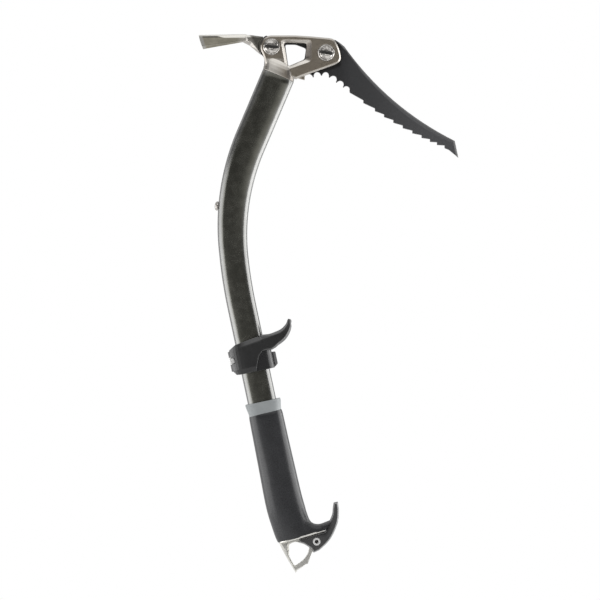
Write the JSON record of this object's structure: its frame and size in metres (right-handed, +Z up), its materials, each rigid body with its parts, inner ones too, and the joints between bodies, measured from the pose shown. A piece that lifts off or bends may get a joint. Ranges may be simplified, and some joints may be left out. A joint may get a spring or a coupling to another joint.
{
  "type": "ice_climbing_tool",
  "caption": "Ice climbing tool with a bent tubular shaft, toothed reverse-curve pick, scooped adze, moulded grip with spike and hook, and a sliding finger rest held by a cam lever",
  "frame": {"origin": "on the axis of the lower shaft, in the middle of the grip", "axes": "+Z up from the spike to the head, +X towards the point of the pick, +Y away from the viewer of the side shown"},
  "size_m": [0.2408, 0.048, 0.4995],
  "materials": {
    "shaft_anodised": "dark satin anodised",
    "head_steel": "cast, bead blasted, polished rims",
    "pick_steel": "black satin",
    "adze_steel": "forged, satin",
    "spike_steel": "ground and polished",
    "fastener_steel": "plated",
    "grip_rubber": "moulded, matt",
    "ring_plastic": "moulded, light grey",
    "black_plastic": "moulded, fine grain",
    "band_plastic": "moulded, smooth"
  },
  "bodies": {
    "tool": {"shaft": "shaft_anodised", "spine_screw": "fastener_steel", "spine_insert": "fastener_steel", "head": "head_steel", "pick": "pick_steel", "adze": "adze_steel", "rear_bolt": "fastener_steel", "rear_nut": "fastener_steel", "front_bolt": "fastener_steel", "front_nut": "fastener_steel", "grip": "grip_rubber", "grip_ring": "ring_plastic", "spike": "spike_steel", "spike_pins": "fastener_steel", "hook": "black_plastic", "hook_screw": "fastener_steel", "hook_nut": "fastener_steel"},
    "finger_rest": {"rest_collar": "black_plastic", "rest_band": "band_plastic", "anchor_bar": "fastener_steel", "cam_barrel": "fastener_steel"},
    "lever": {"clamp_lever": "black_plastic"},
    "screw": {"tension_screw": "fastener_steel"}
  },
  "joints": [
    {"name": "rest_slide", "type": "slide", "parent": "tool", "child": "finger_rest", "axis": [-0.2079, 0, 0.9781], "range_m": [-0.026, 0.026]},
    {"name": "lever_open", "type": "hinge", "parent": "finger_rest", "child": "lever", "pos_m": [-0.04217, 0.01, 0.10677], "axis": [-0.2079, 0, 0.9781], "range_deg": [0, 115]},
    {"name": "screw_turn", "type": "hinge", "parent": "finger_rest", "child": "screw", "pos_m": [-0.04217, 0, 0.10677], "axis": [0, 1, 0], "continuous": true}
  ]
}
